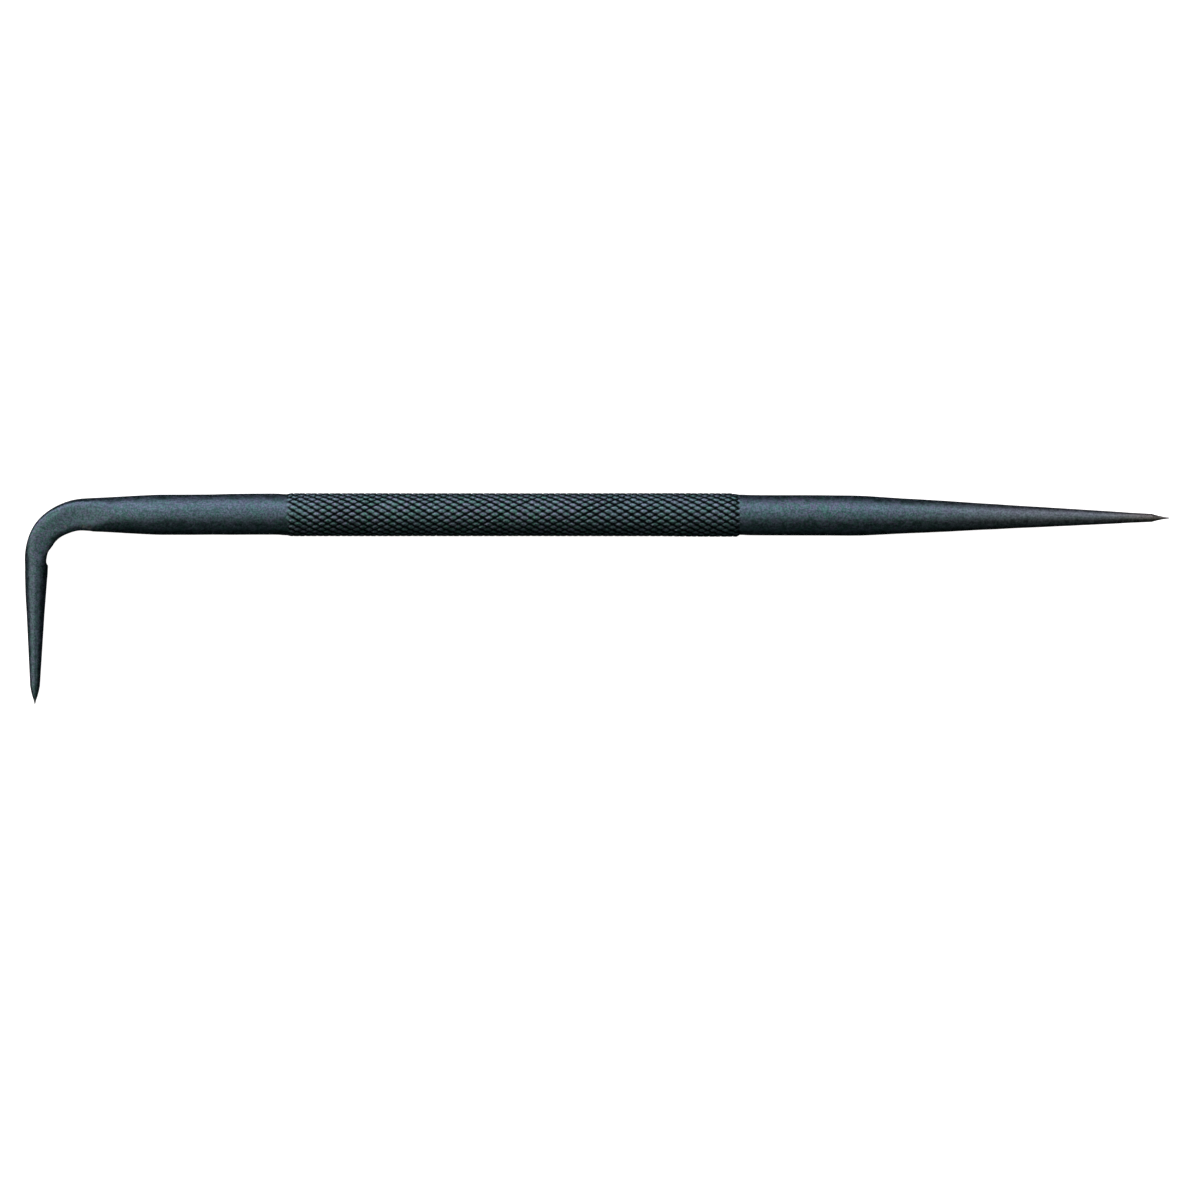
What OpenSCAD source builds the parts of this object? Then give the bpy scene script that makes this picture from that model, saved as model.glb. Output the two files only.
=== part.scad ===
// Double-ended hook tool for picking out packing, seals and O-rings.
//
// One round steel bar. Its middle is a knurled grip. One end is ground to a
// long straight point. The other end is ground to the same kind of point and
// then bent into a hook. The end of each point is a short, steeper cone with
// a slightly blunted tip.
//
// Frame: the tool lies on a flat surface, the way it comes to rest, on the
// crests of its knurl and on the leg of its hook. +X runs along the bar to
// the straight point, the leg runs toward -Y, and +Z is up. The origin is on
// that surface, below the middle of the tool's bounding box. Millimetres.

/* [Bar] */
// Diameter of the plain bar
bar_d = 8; // [6:0.1:10]
// Plain length between the knurl and the start of the hook's taper
hook_neck = 25; // [10:0.5:40]
// Plain length between the knurl and the start of the straight taper
point_neck = 23.5; // [10:0.5:40]

/* [Knurl] */
// Length of the knurled grip
knurl_len = 90; // [60:1:120]
// Height of the diamonds' crests above the plain bar
knurl_rise = 0.25; // [0.1:0.05:0.4]
// Depth of the grooves, from crest to root
knurl_depth = 0.5; // [0.45:0.05:0.8]
// Grooves of each hand, counted round the bar
knurl_starts = 18; // [12:2:28]
// Half diamonds, counted along the grip
knurl_rows = 77; // [41:2:95]

/* [Straight point] */
// Length of the long taper, without its tip
point_taper = 58; // [40:0.5:80]
// Diameter of the long taper where its tip begins
point_end_d = 1.6; // [1.2:0.1:3]
// Length over which the plain bar rounds into the long taper
point_blend = 5; // [1:0.5:8]
// Droop of the straight end toward the side of the hook, in degrees
point_droop = 0.45; // [0:0.05:1]

/* [Hook] */
// Length of the taper before the bend
hook_lead = 14.9; // [5:0.1:25]
// Radius of the bend, at the centre line
bend_r = 9.5; // [8.5:0.5:20]
// Angle of the bend, in degrees
bend_angle = 89.3; // [60:0.1:100]
// Length of the leg from the bend to its tip
leg_len = 24.8; // [15:0.1:40]
// Diameter of the leg where its tip begins
leg_end_d = 1.9; // [1.2:0.1:3]
// Length over which the plain bar rounds into the hook's taper
hook_blend = 2; // [0.5:0.5:4]

/* [Tips] */
// Length of the short cone at each tip
tip_len = 3.5; // [2:0.1:5]
// Diameter of the blunted end of each tip
tip_d = 0.2; // [0.1:0.05:0.5]

/* [Hidden] */

$fn = 96;
steel = "#3d474d"; // dark oxide finish

bar_r = bar_d / 2;
crest_r = bar_r + knurl_rise;
root_r = crest_r - knurl_depth;
// Columns of crests and roots round the grip
knurl_cols = 2 * knurl_starts;
// The grip lies on two lines of crests, half a column to each side of its lowest
// line, so its axis is a little lower than a crest is high
lie_r = crest_r * cos(180 / knurl_cols);
// How far each plain neck runs into the knurl, so that the grooves end in it
seat = 0.1;
blend_steps = 6;

// --- the straight end --------------------------------------------------------
// t is the distance from the end of the knurl.
point_slope = (bar_r - point_end_d / 2) / point_taper;
point_total = point_neck + point_taper + tip_len;

// --- the hooked end ----------------------------------------------------------
// The bend is a chain of short cones. Two neighbours share the sphere at their
// corner, so they meet in a plane curve.
bend_steps = 18;
turn = bend_angle / bend_steps;
chord = 2 * bend_r * sin(turn / 2);
hook_slope = (bar_r - leg_end_d / 2) / (hook_lead + bend_steps * chord + leg_len);
hook_beta = atan(hook_slope);
// Corner i of the centre line, from the start of the bend (i = 0)
function corner(i) = bend_r * [-sin(i * turn), cos(i * turn) - 1];
// Radius of the bar at corner i
function corner_r(i) = bar_r - hook_slope * (hook_lead + i * chord);
// Heading of the piece before corner i, in degrees from -X toward -Y
function heading(i) = i < 1 ? 0 : i > bend_steps ? bend_angle : (i - 0.5) * turn;
function along(h) = [-cos(h), -sin(h)];
function across(h) = [-sin(h), cos(h)];
// The plane in which the pieces before and after corner i meet
function seam_h(i) = (heading(i) + heading(i + 1)) / 2;
function seam_at(i) =
  corner(i) + along(seam_h(i)) * corner_r(i) * cos(hook_beta) * sin(hook_beta)
    / cos((heading(i + 1) - heading(i)) / 2);

// Each piece starts a hair thinner than the one before it and laps into it, so
// that the joint is a step too small to see and not two faces that just touch.
hair = 0.01;
lap = 0.04;
// How far each piece runs past its seams before it is trimmed
past = 0.6;

bend_x = -(knurl_len / 2 + hook_neck + hook_lead);

// --- at rest -----------------------------------------------------------------
// Distance from the bar's axis to the end of the leg's taper, and to the tip
shoulder_y = bend_r * (1 - cos(bend_angle)) + leg_len * sin(bend_angle);
tip_y = shoulder_y + tip_len * sin(bend_angle);
// Roll about the bar's axis that brings a ring of radius r, at distance d,
// down to the surface
function roll_to(d, r) = asin(lie_r / norm([d, r])) - atan(r / d);
roll = min(roll_to(shoulder_y, leg_end_d / 2), roll_to(tip_y, tip_d / 2));

// --- the middle of the bounding box --------------------------------------------
x_max = knurl_len / 2 + point_total * cos(point_droop);
x_min = bend_x
  - max([for (i = [0 : 0.25 : bend_steps])
      bend_r * sin(i * turn) + corner_r(i) * cos(hook_beta)]);
x_mid = (x_max + x_min) / 2;
y_mid = (lie_r - tip_y * cos(roll)) / 2;

// Radius at distance t of a bar that turns into a taper at t = start
function taper_r(t, start, slope, blend) =
  t <= start - blend / 2 ? bar_r
  : t >= start + blend / 2 ? bar_r - slope * (t - start)
  : bar_r - slope * pow(t - start + blend / 2, 2) / (2 * blend);

// Half outline of a plain neck and the rounding into its taper
function neck_outline(start, slope, blend) = concat(
  [[0, -seat], [bar_r, -seat]],
  [for (j = [0 : blend_steps])
    let (t = start + blend * (j / blend_steps - 0.5)) [taper_r(t, start, slope, blend), t]]
);

// Plain neck, long taper and tip, along +X from the end of the knurl
module straight_end() {
  rotate([0, 0, -point_droop]) rotate([0, 90, 0]) rotate_extrude()
    polygon(concat(
      neck_outline(point_neck, point_slope, point_blend),
      [
        [point_end_d / 2, point_neck + point_taper],
        [tip_d / 2, point_total],
        [0, point_total]
      ]
    ));
}

// The space between two seams of the bend, with a start that lies a little
// before its seam. Before seam 0 it reaches back past the knurl's end, and
// after the last seam it reaches past the leg's tip.
module between(i) {
  w = bar_r + 0.8;
  function edge(j, side, far) =
    seam_at(j) + side * w * across(seam_h(j)) + far * along(seam_h(j));
  a = i == 0 ? [0, -(hook_neck + hook_lead + 5)] : [i - 1, -lap];
  b = i > bend_steps ? [bend_steps, leg_len + tip_len + 5] : [i, 0];
  linear_extrude(height = 2 * w, center = true)
    polygon([edge(a[0], 1, a[1]), edge(a[0], -1, a[1]), edge(b[0], -1, b[1]), edge(b[0], 1, b[1])]);
}

// Plain neck and the taper before the bend, along -X from the end of the knurl
module hook_start() {
  end_t = hook_neck + hook_lead + past;
  intersection() {
    translate([hook_neck + hook_lead, 0, 0]) rotate([0, -90, 0]) rotate_extrude()
      polygon(concat(
        neck_outline(hook_neck, hook_slope, hook_blend),
        [[taper_r(end_t, hook_neck, hook_slope, hook_blend), end_t], [0, end_t]]
      ));
    between(0);
  }
}

// One cone of the bend, between seams i - 1 and i
module bend_piece(i) {
  r1 = corner_r(i - 1) - hair;
  slope = (r1 - corner_r(i)) / chord;
  intersection() {
    translate([corner(i - 1)[0], corner(i - 1)[1], 0]) rotate([0, 0, heading(i)])
      rotate([0, -90, 0]) translate([0, 0, -past])
        cylinder(h = chord + 2 * past, r1 = r1 + slope * past, r2 = corner_r(i) - slope * past);
    between(i);
  }
}

// The hook's leg and its tip
module leg() {
  n = bend_steps;
  r1 = corner_r(n) - hair;
  slope = (r1 - leg_end_d / 2) / leg_len;
  intersection() {
    translate([corner(n)[0], corner(n)[1], 0]) rotate([0, 0, bend_angle])
      rotate([0, -90, 0]) rotate_extrude()
        polygon([
          [0, -past],
          [r1 + slope * past, -past],
          [leg_end_d / 2, leg_len],
          [tip_d / 2, leg_len + tip_len],
          [0, leg_len + tip_len]
        ]);
    between(n + 1);
  }
}

// The hooked end, from the start of its bend
module hooked_end() {
  hook_start();
  for (i = [1 : bend_steps]) bend_piece(i);
  leg();
}

// The knurl: rows of crests and roots that take turns, both along the grip and
// round it. A groove runs from root to root, so each crest is the top of a
// four-sided diamond.
module knurl() {
  function is_root(k, m) = (k + m) % 2 == 0;
  function spot(k, m) =
    let (r = is_root(k, m) ? root_r : crest_r, a = 360 * (m + 0.5) / knurl_cols)
      [knurl_len * (k / knurl_rows - 0.5), r * sin(a), -r * cos(a)];
  function at(k, m) = k * knurl_cols + m % knurl_cols;
  first = (knurl_rows + 1) * knurl_cols;
  points = concat(
    [for (k = [0 : knurl_rows], m = [0 : knurl_cols - 1]) spot(k, m)],
    [[-knurl_len / 2, 0, 0], [knurl_len / 2, 0, 0]]
  );
  flanks = [
    for (k = [0 : knurl_rows - 1], m = [0 : knurl_cols - 1])
      each is_root(k, m)
        ? [[at(k, m), at(k + 1, m + 1), at(k, m + 1)], [at(k, m), at(k + 1, m), at(k + 1, m + 1)]]
        : [[at(k, m), at(k + 1, m), at(k, m + 1)], [at(k + 1, m), at(k + 1, m + 1), at(k, m + 1)]]
  ];
  ends = [
    for (m = [0 : knurl_cols - 1])
      each [
        [first, at(0, m), at(0, m + 1)],
        [first + 1, at(knurl_rows, m + 1), at(knurl_rows, m)]
      ]
  ];
  polyhedron(points = points, faces = concat(flanks, ends));
}

module hook_tool() {
  color(steel) translate([-x_mid, -y_mid, lie_r]) {
    knurl();
    rotate([roll, 0, 0]) {
      translate([knurl_len / 2, 0, 0]) straight_end();
      translate([bend_x, 0, 0]) hooked_end();
    }
  }
}

hook_tool();
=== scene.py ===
"""Looks of the hook tool: one dark steel bar with a knurled grip and two ground points.

The bar is modelled in its own frame, in millimetres: u runs along the bar from
the middle of the knurl toward the straight point, v is across it, away from
the side of the hook, and w is up before the tool is rolled onto its leg. The
sizes are those of the CAD part.
"""

import math

import bmesh
import bpy
import numpy as np
from mathutils import Matrix, Vector


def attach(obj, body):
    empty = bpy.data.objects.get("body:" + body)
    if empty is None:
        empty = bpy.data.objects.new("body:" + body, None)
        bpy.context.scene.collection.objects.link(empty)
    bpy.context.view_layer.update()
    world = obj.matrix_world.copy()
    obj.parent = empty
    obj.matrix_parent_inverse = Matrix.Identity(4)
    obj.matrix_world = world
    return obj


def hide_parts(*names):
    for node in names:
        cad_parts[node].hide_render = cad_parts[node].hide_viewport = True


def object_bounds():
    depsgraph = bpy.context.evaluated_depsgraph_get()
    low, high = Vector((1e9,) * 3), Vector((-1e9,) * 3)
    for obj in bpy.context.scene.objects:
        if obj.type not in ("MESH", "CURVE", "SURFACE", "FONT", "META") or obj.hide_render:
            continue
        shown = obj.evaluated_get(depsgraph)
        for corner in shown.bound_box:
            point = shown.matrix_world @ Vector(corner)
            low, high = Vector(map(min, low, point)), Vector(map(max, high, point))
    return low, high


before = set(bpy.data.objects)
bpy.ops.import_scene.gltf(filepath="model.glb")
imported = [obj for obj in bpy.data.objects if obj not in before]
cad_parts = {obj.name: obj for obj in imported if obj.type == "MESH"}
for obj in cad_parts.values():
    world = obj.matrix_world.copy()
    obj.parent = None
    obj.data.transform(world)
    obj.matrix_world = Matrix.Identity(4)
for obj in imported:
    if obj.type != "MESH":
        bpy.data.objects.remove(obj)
cad_lo, cad_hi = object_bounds()

# ---------------------------------------------------------------------------
# sizes, in millimetres and degrees
# ---------------------------------------------------------------------------
BAR_R = 4.0
KNURL_LEN = 90.0
CREST_R = 4.25
KNURL_COLS = 36
HOOK_NECK, HOOK_LEAD, BEND_R, BEND_ANGLE, LEG_LEN = 25.0, 14.9, 9.5, 89.3, 24.8
POINT_NECK, POINT_TAPER, POINT_DROOP = 23.5, 58.0, 0.45
LEG_END_R, POINT_END_R = 0.95, 0.80
TIP_LEN, TIP_R = 3.5, 0.10
POINT_BLEND, HOOK_BLEND = 5.0, 2.0
# The neck beside the knurl is a little thicker on the hook's side, where the
# knurling pushed the metal up
NECK_SWELL = 0.08

HALF = KNURL_LEN / 2
# Height of the bar's axis: the grip lies on two lines of crests
LIE_R = CREST_R * math.cos(math.pi / KNURL_COLS)
DROOP = math.radians(POINT_DROOP)
TURN = math.radians(BEND_ANGLE)
ARC = TURN * BEND_R
POINT_SHOULDER = POINT_NECK + POINT_TAPER
POINT_TOTAL = POINT_SHOULDER + TIP_LEN
POINT_SLOPE = (BAR_R - POINT_END_R) / POINT_TAPER
BEND_START = HOOK_NECK + HOOK_LEAD
BEND_END = BEND_START + ARC
HOOK_SHOULDER = BEND_END + LEG_LEN
HOOK_TOTAL = HOOK_SHOULDER + TIP_LEN
HOOK_SLOPE = (BAR_R - LEG_END_R) / (HOOK_SHOULDER - HOOK_NECK)

# How the tool lies: rolled about the bar's axis until the leg meets the floor
LEG_DROP = BEND_R * (1 - math.cos(TURN)) + LEG_LEN * math.sin(TURN)
TIP_DROP = LEG_DROP + TIP_LEN * math.sin(TURN)
ROLL = min(
    math.asin(LIE_R / math.hypot(d, r)) - math.atan2(r, d)
    for d, r in ((LEG_DROP, LEG_END_R), (TIP_DROP, TIP_R))
)


def smooth(x):
    x = np.clip(x, 0.0, 1.0)
    return x * x * (3 - 2 * x)


def waves(x, angle, seed, octaves=2):
    """Smooth values in about -1 to 1 that close round the bar; x is in units of the coarsest wave."""
    rng = np.random.default_rng(seed)
    out = np.zeros(np.broadcast(x, angle).shape)
    scale = 1.0
    for octave in range(octaves):
        for _ in range(6):
            k = rng.normal() * (0.55 * 2**octave)
            m = int(rng.integers(-2, 3)) * (octave + 1)
            out += np.sin(k * x + m * angle + rng.uniform(0, 2 * math.pi)) * scale
        scale *= 0.5
    return out / (math.sqrt(6) * 1.6)


# ---------------------------------------------------------------------------
# radius of the plain parts; t is the distance from the knurl's end
# ---------------------------------------------------------------------------
def taper(t, start, slope, blend):
    if t <= start - blend / 2:
        return BAR_R
    if t >= start + blend / 2:
        return BAR_R - slope * (t - start)
    return BAR_R - slope * (t - start + blend / 2) ** 2 / (2 * blend)


def lobe(angle, centre, width):
    """1 on the line at that angle, falling to 0 about two widths away."""
    d = (angle - centre + math.pi) % (2 * math.pi) - math.pi
    return np.exp(-((d / width) ** 2))


# Angles round the bar, seen along it from the knurl: 0 is the top and 90
# degrees is the side away from the hook
INSIDE = math.radians(270)

# Marks that the bending tool left near the inside of the bend: distance from
# the knurl's end, angle, depth, and radius of the mark
NICKS = (
    (40.1, math.radians(322), 0.07, 0.34),
    (38.9, math.radians(318), 0.09, 0.40),
    (37.4, math.radians(312), 0.05, 0.28),
    (35.4, math.radians(314), 0.04, 0.26),
    (44.3, math.radians(335), 0.05, 0.24),
    (51.8, math.radians(318), 0.04, 0.30),
)


def pressed(t):
    """Depth of the flat that the bending pin pressed into the inside of the bend."""
    enter = 0.16 * smooth((t - 38.15) / 0.45) * (1 - 0.45 * smooth((t - 39.5) / 5.0))
    leave = 0.39 * smooth((t - 49.8) / 2.8) * (1 - smooth((t - 55.0) / 0.55))
    tail = 1 - smooth((t - 54.6) / 0.6)
    return enter * tail + leave


def flattened(t):
    """How far the bend is squeezed flat, as the press that formed it left it."""
    return float(smooth((t - 33.0) / 9.0) * (1 - smooth((t - 49.0) / 6.5)))


def hook_radius(t, angle):
    """(radius, how far the finish is rubbed off, plus a painted highlight along the edges of the pressed flat and in
    the nicks) of the hooked end.
    """
    worn_and_highlight = np.zeros(len(angle))
    if t >= HOOK_SHOULDER:
        x = (t - HOOK_SHOULDER) / TIP_LEN
        r = LEG_END_R + (TIP_R - LEG_END_R) * x + 0.05 * math.sin(math.pi * min(x / 0.75, 1)) ** 0.8
        r -= 0.035 * math.sin(math.pi * max(0.0, (x - 0.6) / 0.4)) ** 0.8
        worn_and_highlight += 0.30 * smooth((x - 0.55) / 0.45)
        return np.full(len(angle), max(r, 0.05)), worn_and_highlight
    r = np.full(len(angle), taper(t, HOOK_NECK, HOOK_SLOPE, HOOK_BLEND))
    r += NECK_SWELL * (1 - smooth((t - 10.0) / 5.0))
    r += 0.045 * smooth((t - 24.0) / 5.0) * (1 - smooth((t - 33.0) / 5.0)) - 0.04 * math.exp(-(((t - 41.5) / 2.5) ** 2))
    r += 0.02 * smooth((t - BEND_END) / 2.0)
    r += 0.04 * smooth((t - BEND_END - 1.2) / 1.5) * (1 - smooth((t - BEND_END - 7.0) / 3.0))
    r *= 1 + 0.004 * smooth(t / 6) * waves(t * 0.25, angle, 51)
    flat = flattened(t)
    if flat > 0:
        n = 2 + 2.6 * flat
        r *= ((np.abs(np.sin(angle)) / (1 + 0.013 * flat)) ** n + (np.abs(np.cos(angle)) / (1 - 0.10 * flat)) ** n) ** (-1 / n)
    # the flat of the bending pin
    depth = pressed(t)
    d = (angle - INSIDE + math.pi) % (2 * math.pi) - math.pi
    if depth > 0:
        side = r[np.argmin(np.abs(d))] - depth
        r = np.minimum(r, side / np.maximum(np.cos(d), 0.2))
    # painted highlight: a light line along both edges of the pressed flat, carried in the same channel as the
    # rubbed-off finish
    edge = math.exp(-(((t - 38.3) / 0.35) ** 2)) + math.exp(-(((t - 55.4) / 0.35) ** 2))
    worn_and_highlight += 0.20 * edge * lobe(angle, INSIDE, 0.35)
    for at, where, deep, size in NICKS:
        across = ((angle - where + math.pi) % (2 * math.pi) - math.pi) * r
        spot = np.exp(-((t - at) ** 2 + across**2) / size**2)
        rim = np.exp(-((np.sqrt((t - at) ** 2 + across**2) - 1.25 * size) ** 2) / (0.3 * size) ** 2)
        r = r - deep * spot + 0.25 * deep * rim
        # each nick is lighter: the finish is rubbed off there, and the lighter spot also paints the highlight the nick
        # catches
        worn_and_highlight += 0.5 * np.clip(deep / 0.09, 0, 1) * spot
    return r, np.clip(worn_and_highlight, 0, 1)


def point_radius(t, angle):
    """(radius, how far the finish is rubbed off) of the straight end."""
    if t >= POINT_SHOULDER:
        x = (t - POINT_SHOULDER) / TIP_LEN
        r = POINT_END_R + (TIP_R - POINT_END_R) * x - 0.10 * math.sin(math.pi * x) ** 0.9
        return np.full(len(angle), max(r, 0.05)), np.full(len(angle), 0.30 * float(smooth((x - 0.5) / 0.5)))
    r = taper(t, POINT_NECK, POINT_SLOPE, POINT_BLEND)
    # grinding by hand left the long taper slightly wavy
    ground = float(smooth((t - POINT_NECK) / 8) * (1 - smooth((t - POINT_SHOULDER + 6) / 6)))
    r = r * (1 + 0.003 * waves(t * 0.25, angle, 41)) + 0.022 * ground * waves(t * 0.55, angle * 0, 47)
    return r, np.zeros(len(angle))


# ---------------------------------------------------------------------------
# centre lines: (u, v) and the direction across, away from the inside
# ---------------------------------------------------------------------------
def straight_path(t):
    low = 0.07 * float(smooth(t / 2.0) * (1 - smooth((t - 3.0) / 14)))
    return (HALF + t * math.cos(DROOP), -t * math.sin(DROOP) - low), (math.sin(DROOP), math.cos(DROOP))


def strayed(t):
    """How far the hooked end strays outward from the true line: in the neck, in the bend and down the leg."""
    neck = 0.12 * smooth(t / 2) * (1 - smooth((t - 4) / 16))
    return float(neck + 0.23 * np.exp(-(((t - 48.4) / 3.0) ** 2)) + 0.12 * smooth((t - 54) / 8))


def hook_path(t):
    h = min(max(t - BEND_START, 0.0), ARC) / BEND_R
    across = (-math.sin(h), math.cos(h))
    rest = max(t - BEND_END, 0.0)
    off = strayed(t)
    u = -(HALF + min(t, BEND_START)) - BEND_R * math.sin(h) - rest * math.cos(h)
    v = -BEND_R * (1 - math.cos(h)) - rest * math.sin(h)
    return (u + off * across[0], v + off * across[1]), across


# ---------------------------------------------------------------------------
# the knurl: two sets of V grooves, one of each hand
# ---------------------------------------------------------------------------
N_A, N_B = 18, 20  # grooves of each hand, slightly unequal as on the real grip
PITCH_A, PITCH_B = 2.343, 2.360  # along the bar
TWIST = 0.094  # radians by which the lattice is turned round the bar
# The first set is deep and wide, and the second, rolled across it, is shallow
WIDE_A, WIDE_B = 0.34, 0.30  # half width of a groove, as a part of its spacing
DEEP_A, DEEP_B = 0.22, 0.18
CROWN_A, CROWN_B = 0.005, 0.002
PLAIN_HEIGHT = 0.64  # height, as the material reads it, of the plain bar
# How each diamond is divided: the groove's bottom, its flank and edge, and the crowned land
FRACS_A = (0.0, 0.17, 0.34, 0.436, 0.564, 0.66, 0.83)
FRACS_B = (0.0, 0.30, 0.41, 0.59, 0.70)

_rng = np.random.default_rng(7)
EACH_A = 1 + 0.10 * _rng.standard_normal(N_A)
EACH_B = 1 + 0.16 * _rng.standard_normal(N_B)


def knurl_radius(u, phi):
    """(radius, how far up a diamond: 0 at the bottom of a groove and 1 on a crest)"""
    a = u / PITCH_A + N_A * (phi - TWIST) / (2 * math.pi)
    b = u / PITCH_B - N_B * (phi - TWIST) / (2 * math.pi)
    da, db = np.abs(a - np.round(a)), np.abs(b - np.round(b))
    deep_a = DEEP_A * EACH_A[np.round(a).astype(int) % N_A] * (1 + 0.10 * waves(u * 0.5, phi, 21))
    deep_b = DEEP_B * EACH_B[np.round(b).astype(int) % N_B] * (1 + 0.22 * waves(u * 0.6, phi, 31))
    groove = deep_a * np.clip(1 - da / WIDE_A, 0, 1) + deep_b * np.clip(1 - db / WIDE_B, 0, 1)
    crown = CROWN_A * (1 - 2 * da) ** 2 + CROWN_B * (1 - 2 * db) ** 2
    top = CREST_R + 0.045 - 0.012 * (1 + waves(u * 0.35, phi, 11))
    top = top + 0.10 * smooth((u - 28) / 12) * ((1 - np.sin(phi)) / 2) ** 2
    high = np.clip(1 - (groove + crown) / (DEEP_A + CROWN_A + CROWN_B), 0, 1)
    # On the hook's side the grooves fade in. On the other side they stop at a
    # steep wall, and the lands fall to the bar over a length that varies round it.
    left, right = u + HALF, HALF - u
    fall = 0.85 + 1.3 * ((1 + np.sin(phi)) / 2) ** 2
    land = smooth(left / 1.3) * smooth(right / fall)
    cut = smooth((left - 0.1) / 0.8) * smooth(right / 0.4)
    plain = BAR_R + NECK_SWELL * (u < 0)
    r = plain + (top - plain) * land - (groove + crown * land) * cut
    down = -np.cos(phi - ROLL)
    r = np.minimum(r, (LIE_R - 0.001) / np.maximum(down, 0.5))
    return r, high * cut + PLAIN_HEIGHT * (1 - cut)


def knurl_mesh():
    """The knurled band on lines that follow its grooves, trimmed square at both ends."""
    n_a, n_b = len(FRACS_A), len(FRACS_B)
    per_b = N_B * n_b
    both = N_B / PITCH_A + N_A / PITCH_B

    def spot(ia, ib):
        a, b = ia // n_a + FRACS_A[ia % n_a], ib // n_b + FRACS_B[ib % n_b]
        u = (N_B * a + N_A * b) / both
        return u, 2 * math.pi * (a - u / PITCH_A) / N_A + TWIST

    bm = bmesh.new()
    verts = {}

    def vert(ia, ib):
        key = (ia + n_a * N_A, ib - per_b) if ib >= per_b else (ia, ib)
        v = verts.get(key)
        if v is None:
            u, phi = spot(*key)
            v = verts[key] = bm.verts.new((u, BAR_R * math.sin(phi), BAR_R * math.cos(phi)))
        return v

    reach = HALF + 0.9
    for ib in range(per_b):
        b = ib // n_b + FRACS_B[ib % n_b]
        lo, hi = ((side * reach * both - N_A * b) / N_B for side in (-1, 1))
        for ia in range(int(math.floor(lo)) * n_a, int(math.ceil(hi)) * n_a):
            if abs(spot(ia, ib)[0]) < reach:
                bm.faces.new((vert(ia, ib), vert(ia + 1, ib), vert(ia + 1, ib + 1), vert(ia, ib + 1)))
    cuts = ((HALF, True), (-HALF, True), (HALF - 0.15, False), (HALF - 0.6, False), (-HALF + 0.3, False), (-HALF + 0.8, False))
    for at, trim in cuts:
        bmesh.ops.bisect_plane(
            bm,
            geom=bm.verts[:] + bm.edges[:] + bm.faces[:],
            dist=1e-5,
            plane_co=(at, 0, 0),
            plane_no=(1 if at > 0 else -1, 0, 0),
            clear_outer=trim,
        )
    return bm


# ---------------------------------------------------------------------------
# the whole bar
# ---------------------------------------------------------------------------
ROUND = 96  # vertices round the plain parts


def stations(*spans):
    """Distances of the rings: each span runs from the end of the one before it, in steps of about its own."""
    out, at = [], 0.0
    for end, step in spans:
        n = max(1, round((end - at) / step))
        out += [at + (end - at) * (i + 1) / n for i in range(n)]
        at = end
    return out


def join(bm, a, b):
    """Quads between two rings of one size, and a zip of triangles between rings of two sizes."""
    if len(a) == len(b):
        n = len(a)
        for j in range(n):
            bm.faces.new((a[j], a[(j + 1) % n], b[(j + 1) % n], b[j]))
        return
    na, nb = len(a), len(b)
    ta = [math.atan2(v.co.y, v.co.z) % (2 * math.pi) for v in a]
    tb = [math.atan2(v.co.y, v.co.z) % (2 * math.pi) for v in b]
    i = j = 0
    while i < na or j < nb:
        next_a = ta[i + 1] if i + 1 < na else ta[0] + 2 * math.pi
        next_b = tb[j + 1] if j + 1 < nb else tb[0] + 2 * math.pi
        if j >= nb or (i < na and next_a <= next_b):
            bm.faces.new((a[i % na], a[(i + 1) % na], b[j % nb]))
            i += 1
        else:
            bm.faces.new((a[i % na], b[(j + 1) % nb], b[j % nb]))
            j += 1


def swept(bm, previous, path, radius, ts, height, wear_and_highlight):
    """Rings along path, joined to the ring before them and closed at the tip."""
    angle = np.arange(ROUND) * (2 * math.pi / ROUND)
    s, c = np.sin(angle), np.cos(angle)
    for t in ts:
        (pu, pv), (au, av) = path(t)
        r, worn_and_highlight = radius(t, angle)
        ring = []
        for j in range(ROUND):
            v = bm.verts.new((pu + au * s[j] * r[j], pv + av * s[j] * r[j], c[j] * r[j]))
            v[height] = PLAIN_HEIGHT
            v[wear_and_highlight] = worn_and_highlight[j]
            ring.append(v)
        join(bm, previous, ring)
        previous = ring
    (pu, pv), _ = path(ts[-1] + 0.04)
    tip = bm.verts.new((pu, pv, 0))
    tip[height], tip[wear_and_highlight] = PLAIN_HEIGHT, 0.3
    for j in range(ROUND):
        bm.faces.new((previous[j], previous[(j + 1) % ROUND], tip))


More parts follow.
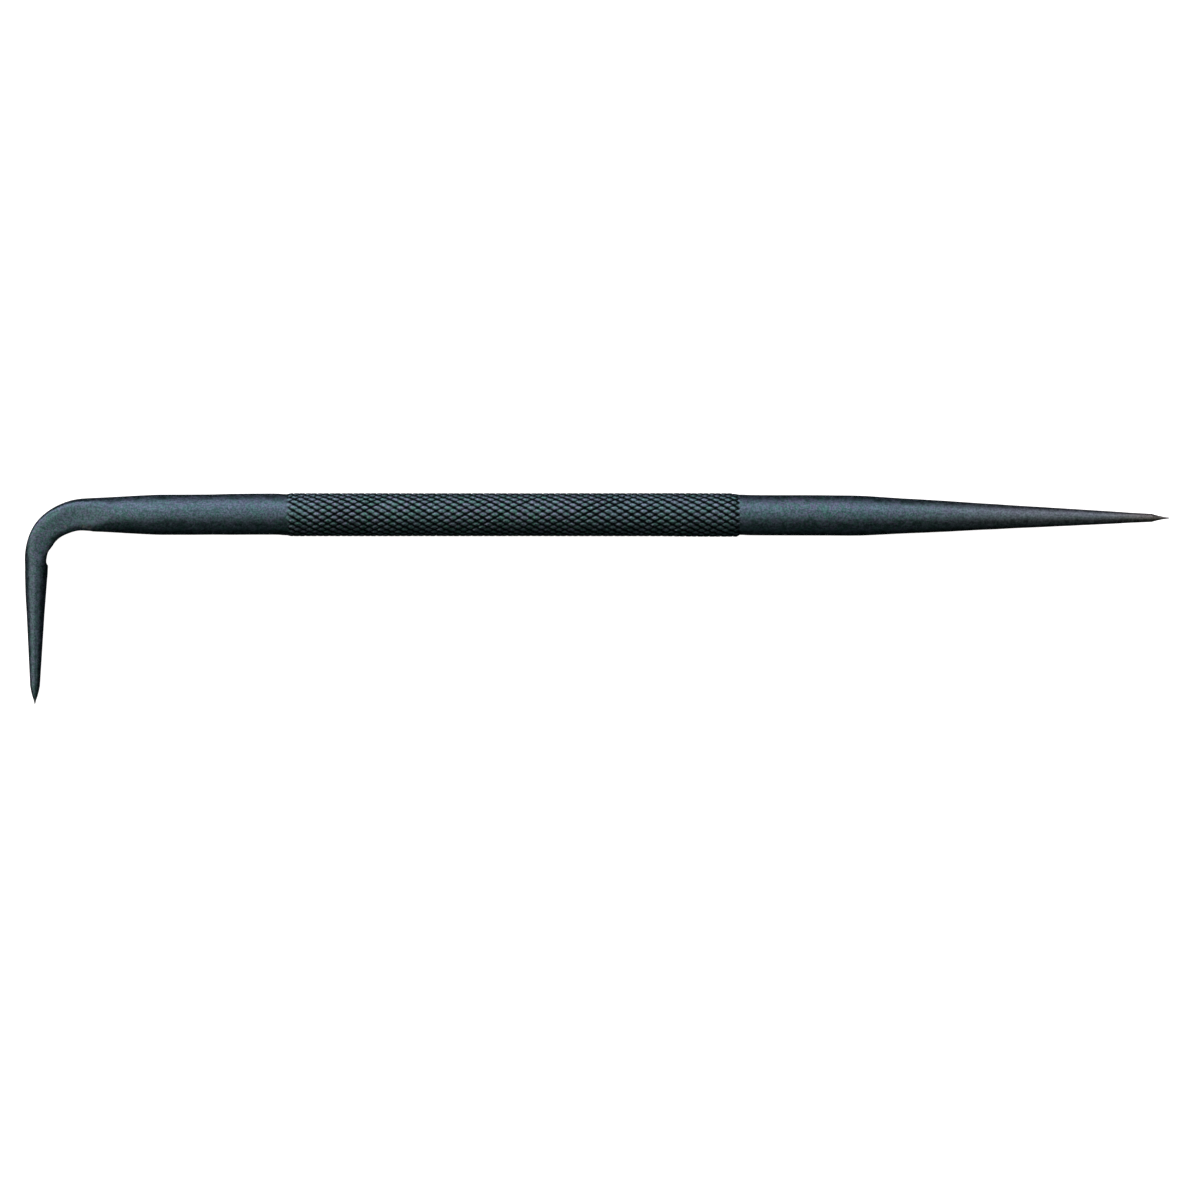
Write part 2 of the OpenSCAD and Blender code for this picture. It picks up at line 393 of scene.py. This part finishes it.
def tool_mesh():
    bm = knurl_mesh()
    height = bm.verts.layers.float.new("height")
    wear_and_highlight = bm.verts.layers.float.new("wear_and_highlight")
    co = np.array([v.co for v in bm.verts])
    phi = np.arctan2(co[:, 1], co[:, 2])
    r, high = knurl_radius(co[:, 0], phi)
    for v, rr, p, hh in zip(bm.verts, r, phi, high, strict=True):
        v.co.y, v.co.z = rr * math.sin(p), rr * math.cos(p)
        v[height] = hh
    ends = {}
    for side in (1, -1):
        ring = [v for v in bm.verts if abs(v.co.x - side * HALF) < 1e-4]
        ring.sort(key=lambda v: math.atan2(v.co.y, v.co.z) % (2 * math.pi))
        ends[side] = ring
    swept(
        bm, ends[1], straight_path, point_radius,
        stations((0.5, 0.5), (20.0, 1.0), (27.0, 0.6), (POINT_SHOULDER - 0.2, 0.75), (POINT_SHOULDER + 0.2, 0.2), (POINT_TOTAL - 0.04, 0.3)),
        height, wear_and_highlight,
    )
    swept(
        bm, ends[-1], hook_path, hook_radius,
        stations((0.5, 0.5), (24.0, 1.0), (34.6, 0.6), (42.0, 0.2), (50.0, 0.33), (57.0, 0.2), (HOOK_SHOULDER - 0.2, 0.65), (HOOK_SHOULDER + 0.2, 0.2), (HOOK_TOTAL - 0.04, 0.3)),
        height, wear_and_highlight,
    )
    bmesh.ops.recalc_face_normals(bm, faces=bm.faces[:])
    bmesh.ops.triangulate(bm, faces=[f for f in bm.faces if len(f.verts) > 4])
    for f in bm.faces:
        f.smooth = True
    for e in bm.edges:
        e.smooth = not (abs(e.verts[0].co.x) <= HALF and e.calc_face_angle(0) > math.radians(32))
    return bm


def to_row(bm):
    """From the bar's frame in millimetres to the part's frame in metres. The CAD box gives the middle."""
    u_max = (HALF + POINT_TOTAL * math.cos(DROOP)) / 1000
    shift = Vector((cad_hi.x - u_max, cad_hi.y - LIE_R / 1000, LIE_R / 1000))
    place = Matrix.Translation(shift) @ Matrix.Scale(0.001, 4) @ Matrix.Rotation(ROLL, 4, "X")
    bmesh.ops.transform(bm, matrix=place, verts=bm.verts[:])


bm = tool_mesh()
to_row(bm)
mesh = bpy.data.meshes.new("hook_tool_body")
bm.to_mesh(mesh)
bm.free()
tool = bpy.data.objects.new("hook_tool_body", mesh)
scene = bpy.context.scene
scene.collection.objects.link(tool)
print("tool triangles", sum(len(p.vertices) - 2 for p in mesh.polygons))

# ---------------------------------------------------------------------------
# material: black-oxide steel
# ---------------------------------------------------------------------------
mat = bpy.data.materials.new("black_oxide_steel")
mat.use_nodes = True
nt = mat.node_tree
nt.nodes.clear()


def wire(value, socket):
    if hasattr(value, "is_output"):
        nt.links.new(value, socket)
    else:
        socket.default_value = value


def noise(scale, detail=2.0, rough=0.5, offset=0.0):
    """(value, colour) of a noise of about that many lumps per metre."""
    n = nt.nodes.new("ShaderNodeTexNoise")
    n.inputs["Scale"].default_value = scale
    n.inputs["Detail"].default_value = detail
    n.inputs["Roughness"].default_value = rough
    if offset:
        m = nt.nodes.new("ShaderNodeVectorMath")
        m.operation = "ADD"
        wire(coords, m.inputs[0])
        m.inputs[1].default_value = (offset, offset * 0.7, offset * 1.3)
        wire(m.outputs[0], n.inputs["Vector"])
    else:
        wire(coords, n.inputs["Vector"])
    return n.outputs["Fac"], n.outputs["Color"]


def calc(op, a, b=0.0, clamp=False):
    n = nt.nodes.new("ShaderNodeMath")
    n.operation = op
    n.use_clamp = clamp
    wire(a, n.inputs[0])
    wire(b, n.inputs[1])
    return n.outputs[0]


def remap(value, a, b, c, d):
    n = nt.nodes.new("ShaderNodeMapRange")
    n.interpolation_type = "SMOOTHSTEP"
    wire(value, n.inputs["Value"])
    for key, x in (("From Min", a), ("From Max", b), ("To Min", c), ("To Max", d)):
        n.inputs[key].default_value = x
    return n.outputs["Result"]


def blend(fac, a, b, mode="MIX"):
    n = nt.nodes.new("ShaderNodeMix")
    n.data_type = "RGBA"
    n.blend_type = mode
    wire(fac, n.inputs["Factor"])
    for value, key in ((a, "A"), (b, "B")):
        socket = next(s for s in n.inputs if s.name == key and s.type == "RGBA")
        wire((*value, 1.0) if isinstance(value, tuple) else value, socket)
    return next(s for s in n.outputs if s.type == "RGBA")


def attribute(name):
    n = nt.nodes.new("ShaderNodeAttribute")
    n.attribute_name = name
    return n.outputs["Fac"]


def scaled(color, value):
    """A colour times a number."""
    n = nt.nodes.new("ShaderNodeVectorMath")
    n.operation = "SCALE"
    wire(color, n.inputs[0])
    wire(value, n.inputs["Scale"])
    return n.outputs[0]


coords = nt.nodes.new("ShaderNodeTexCoord").outputs["Object"]
split = nt.nodes.new("ShaderNodeSeparateXYZ")
wire(coords, split.inputs[0])
along = split.outputs["X"]
height = attribute("height")
wear_and_highlight = attribute("wear_and_highlight")

fine, _ = noise(2900, 1.0, 0.6)
grain, _ = noise(1500, 2.0, 0.6, 0.13)
fleck, _ = noise(2300, 1.0, 0.5, 0.37)
mottle, _ = noise(520, 2.0, 0.55, 0.71)
cloud, _ = noise(70, 2.0, 0.5, 0.19)

# colour: teal, blue and violet-grey flecks in a dark oxide
hue = calc("ADD", calc("MULTIPLY", fleck, 0.62), calc("MULTIPLY", mottle, 0.38))
tint = blend(remap(hue, 0.40, 0.60, 0.0, 1.0), (0.034, 0.078, 0.071), (0.066, 0.072, 0.107))
tint = blend(remap(cloud, 0.38, 0.62, 0.0, 0.35), tint, (0.050, 0.078, 0.098))
grey = remap(along, 0.050, 0.095, 0.0, 0.75)
tint = blend(grey, tint, (0.076, 0.082, 0.090))
tint = blend(remap(along, 0.098, 0.1125, 0.0, 0.6), tint, (0.098, 0.078, 0.064))
light = calc("MULTIPLY", remap(fine, 0.34, 0.66, 0.72, 1.30), remap(grain, 0.36, 0.64, 0.84, 1.17))
# painted shade in the knurl's grooves and painted highlight on its crests: the colour darkens toward each groove's
# bottom and brightens on the crests
light = calc("MULTIPLY", light, remap(height, 0.10, 0.98, 0.05, 1.48))
tint = scaled(tint, light)
# the grip is a little greener than the plain bar
middle = cad_hi.x - (HALF + POINT_TOTAL * math.cos(DROOP)) / 1000
grip = remap(calc("ABSOLUTE", calc("SUBTRACT", along, middle)), 0.0440, 0.0455, 1.0, 0.0)
tint = blend(grip, tint, (0.98, 1.0, 0.94), "MULTIPLY")
# lighter grey where the finish is rubbed off at the tips and in the nicks, and a painted highlight along the edges of
# the pressed flat and in the nicks
tint = blend(wear_and_highlight, tint, (0.30, 0.27, 0.26))

# roughness: satin, smoother on the worn crests and rougher in the grooves
rough = calc("ADD", remap(grain, 0.35, 0.65, 0.40, 0.52), remap(mottle, 0.35, 0.65, -0.03, 0.04))
rough = calc("ADD", rough, remap(height, 0.80, 1.0, 0.0, -0.05))
rough = calc("ADD", rough, remap(height, 0.0, 0.5, 0.15, 0.0))
rough = calc("SUBTRACT", rough, calc("MULTIPLY", wear_and_highlight, 0.08))

# relief: a fine, even tooth, and soft unevenness from the forging and grinding
relief = calc("ADD", calc("MULTIPLY", fine, 0.45), calc("MULTIPLY", grain, 1.0))
relief = calc("ADD", relief, calc("MULTIPLY", mottle, 1.6))
bump = nt.nodes.new("ShaderNodeBump")
bump.inputs["Strength"].default_value = 1.0
bump.inputs["Distance"].default_value = 0.000012
wire(relief, bump.inputs["Height"])

bsdf = nt.nodes.new("ShaderNodeBsdfPrincipled")
bsdf.inputs["Metallic"].default_value = 1.0
bsdf.inputs["Specular Tint"].default_value = (0.0, 0.0, 0.0, 1.0)
wire(tint, bsdf.inputs["Base Color"])
wire(rough, bsdf.inputs["Roughness"])
wire(bump.outputs["Normal"], bsdf.inputs["Normal"])
out = nt.nodes.new("ShaderNodeOutputMaterial")
nt.links.new(bsdf.outputs["BSDF"], out.inputs["Surface"])
tool.data.materials.append(mat)

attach(tool, "root")
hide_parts("hook_tool")

# ---------------------------------------------------------------------------
# floor, light and camera
# ---------------------------------------------------------------------------
bpy.ops.mesh.primitive_plane_add(size=12, location=(0, 0, 0))
floor = bpy.context.object
floor.name = "floor"
fmat = bpy.data.materials.new("floor_white")
fmat.use_nodes = True
fb = fmat.node_tree.nodes["Principled BSDF"]
fb.inputs["Base Color"].default_value = (0.5, 0.5, 0.5, 1)
fb.inputs["Roughness"].default_value = 0.9
fb.inputs["Specular IOR Level"].default_value = 0.0
fb.inputs["Emission Color"].default_value = (1, 1, 1, 1)
fb.inputs["Emission Strength"].default_value = 0.88
floor.data.materials.append(fmat)
floor.visible_glossy = False  # the steel doesn't mirror the white floor, as in the photograph

# The camera sees a pale room, and the steel sees a dim one
world = bpy.data.worlds.new("studio")
scene.world = world
world.use_nodes = True
wt = world.node_tree
wt.nodes.clear()
w_out = wt.nodes.new("ShaderNodeOutputWorld")
w_mix = wt.nodes.new("ShaderNodeMixShader")
w_path = wt.nodes.new("ShaderNodeLightPath")
dim = wt.nodes.new("ShaderNodeBackground")
pale = wt.nodes.new("ShaderNodeBackground")
dim.inputs["Color"].default_value = (0.6, 1.0, 0.95, 1)
dim.inputs["Strength"].default_value = 0.016
pale.inputs["Color"].default_value = (0.93, 0.94, 0.95, 1)
pale.inputs["Strength"].default_value = 1.0
wt.links.new(w_path.outputs["Is Camera Ray"], w_mix.inputs["Fac"])
wt.links.new(dim.outputs[0], w_mix.inputs[1])
wt.links.new(pale.outputs[0], w_mix.inputs[2])
wt.links.new(w_mix.outputs[0], w_out.inputs["Surface"])

# Soft boxes round the tool: degrees from overhead, azimuth, height in metres, and
# red, green and blue watts. Azimuth 90 is past the bar, and 180 is at the hook's end.
BOXES = (
    ("overhead", 5, 90, 0.42, (2.95, 3.8, 3.7)),
    ("upper", 45, 90, 0.86, (10.7, 10.7, 11.8)),
    ("horizon", 70, 90, 0.87, (6.5, 5.9, 6.7)),
    ("corner", 80, 135, 0.42, (13.6, 12.8, 14.3)),
    ("end_high", 30, 180, 0.42, (7.3, 6.6, 6.0)),
    ("end_low", 60, 180, 0.42, (7.8, 7.1, 6.4)),
    ("near", 25, -90, 0.42, (0.15, 0.27, 0.25)),
    ("near_low", 80, -90, 0.42, (0.30, 0.44, 0.40)),
    ("point_end", 28, 0, 0.42, (2.7, 2.3, 2.1)),
)
for name, theta, azimuth, high, watts in BOXES:
    light = bpy.data.lights.new(name, "AREA")
    light.shape = "RECTANGLE"
    light.size, light.size_y = 1.6, high
    light.energy = max(watts)
    light.color = tuple(w / max(watts) for w in watts)
    box = bpy.data.objects.new(name, light)
    scene.collection.objects.link(box)
    t, a = math.radians(theta), math.radians(azimuth)
    box.location = Vector((math.sin(t) * math.cos(a), math.sin(t) * math.sin(a), math.cos(t))) * 1.3
    box.rotation_euler = (t, 0, a + math.pi / 2)
    box.visible_camera = False

PX = 0.001 * 8.0 / 40.4  # metres to a pixel of the photograph
WIDE = 1200 * PX
u_mid = cad_hi.x - (HALF + POINT_TOTAL * math.cos(DROOP)) / 1000  # the knurl's middle
v_mid = cad_hi.y - LIE_R / 1000
cam_data = bpy.data.cameras.new("camera")
cam = bpy.data.objects.new("camera", cam_data)
scene.collection.objects.link(cam)
cam_data.sensor_width = 36.0
cam_data.lens = 400.0
cam_data.clip_start, cam_data.clip_end = 0.01, 30
cam.location = (
    u_mid + (600 - 513.15) * PX,
    v_mid - (600 - 514.7) * PX,
    WIDE * cam_data.lens / cam_data.sensor_width + LIE_R / 1000,
)
cam.rotation_euler = (0, 0, 0)
scene.camera = cam
scene.view_settings.view_transform = "Standard"
